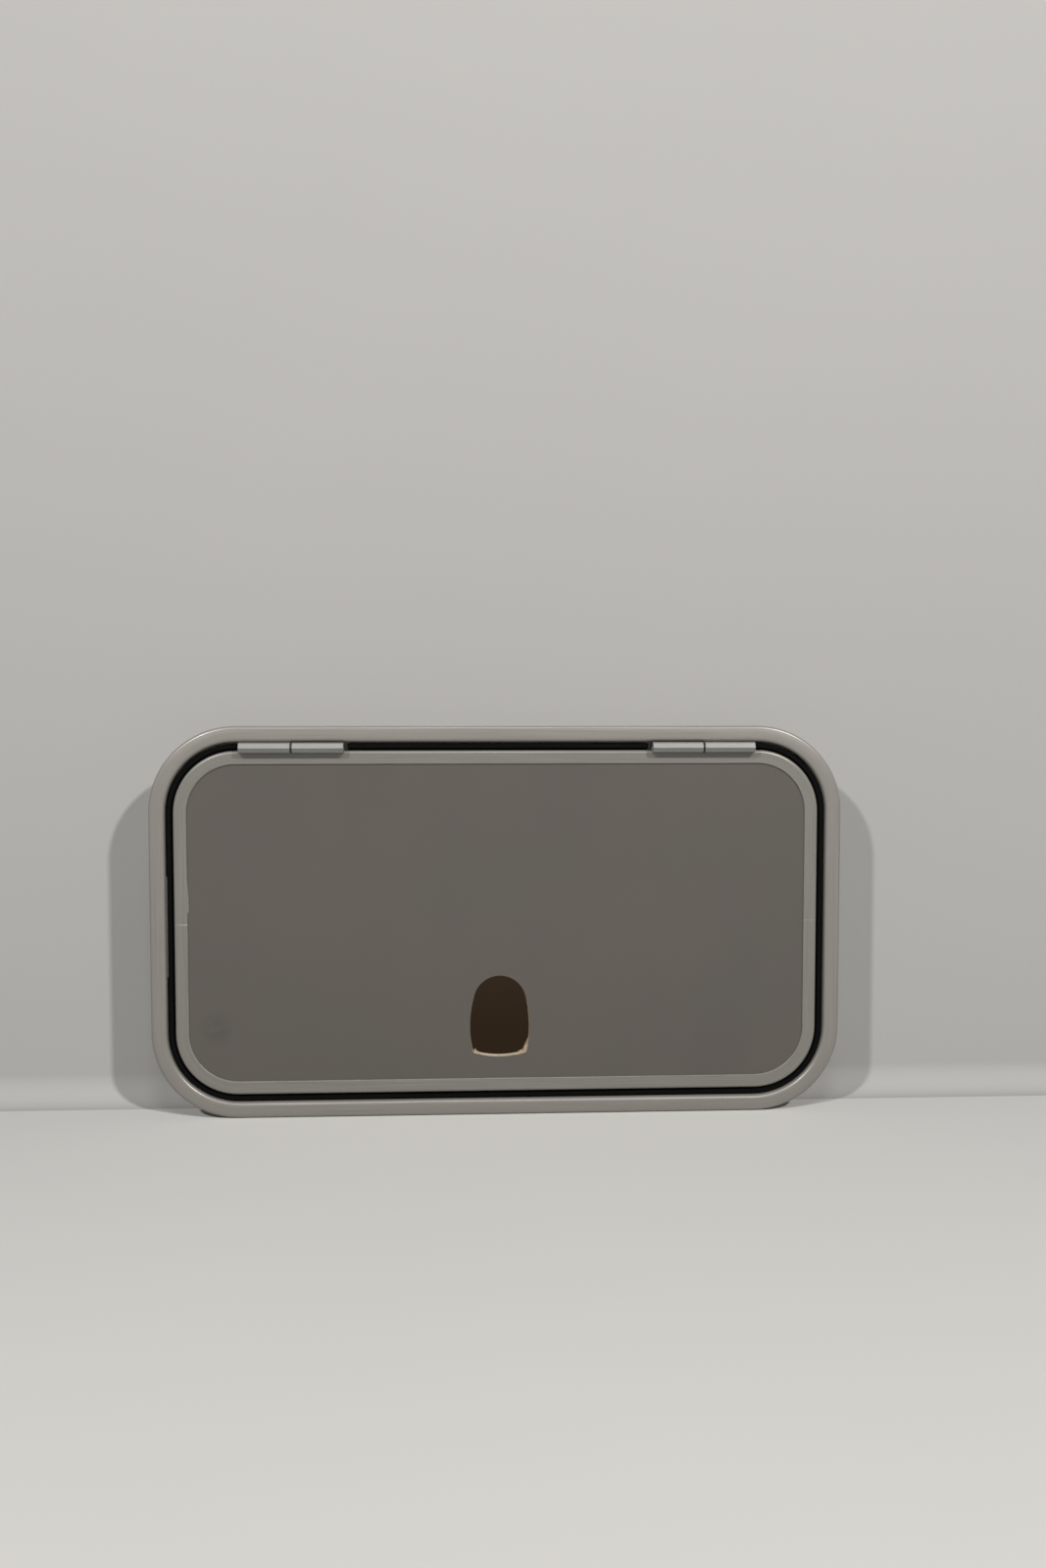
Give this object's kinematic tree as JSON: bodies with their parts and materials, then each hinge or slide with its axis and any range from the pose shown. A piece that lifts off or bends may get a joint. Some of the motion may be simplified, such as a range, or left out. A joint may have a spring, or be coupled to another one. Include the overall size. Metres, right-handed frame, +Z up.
{
  "type": "service hatch",
  "caption": "Top-hung caravan service hatch: bent flange frame, framed sandwich door leaf on barrel hinges, rubber gap seal and an open lock cut-out.",
  "frame": {"origin": "on the flange's back face, which lies on the wall, at the middle of the bottom run of its outer foot", "axes": "+X along the hatch's width, to the right seen from outside; +Y into the wall, so the door faces -Y; +Z up, hinges at the top"},
  "size_m": [0.706, 0.0437, 0.4004],
  "materials": {
    "frame_aluminium": "satin silver-grey anodised",
    "door_aluminium": "satin silver-grey anodised",
    "hinge_aluminium": "satin silver",
    "pin_steel": "drawn",
    "washer_plastic": "black",
    "joint_strip": "dull grey anodised",
    "seal_rubber": "black, faint sheen",
    "skin_paint": "satin taupe-grey lacquer on sheet",
    "core_wood": "cut plywood edge",
    "inner_lining": "satin pale grey lacquer on sheet"
  },
  "bodies": {
    "frame": {"outer_frame": "frame_aluminium", "frame_joint_strip": "joint_strip", "seal_surround": "seal_rubber", "seal_top": "seal_rubber", "hinge_frame_half_left": "hinge_aluminium", "hinge_frame_half_right": "hinge_aluminium", "hinge_pin_left": "pin_steel", "hinge_pin_right": "pin_steel", "hinge_washer_left": "washer_plastic", "hinge_washer_right": "washer_plastic"},
    "door": {"door_frame_upper": "door_aluminium", "door_frame_lower": "door_aluminium", "outer_skin": "skin_paint", "panel_core": "core_wood", "inner_skin": "inner_lining", "hinge_door_half_left": "hinge_aluminium", "hinge_door_half_right": "hinge_aluminium"}
  },
  "joints": [
    {"name": "door_hinge", "type": "hinge", "parent": "frame", "child": "door", "pos_m": [0, -0.012, 0.3762], "axis": [-1, 0, 0], "range_deg": [0, 180]}
  ]
}
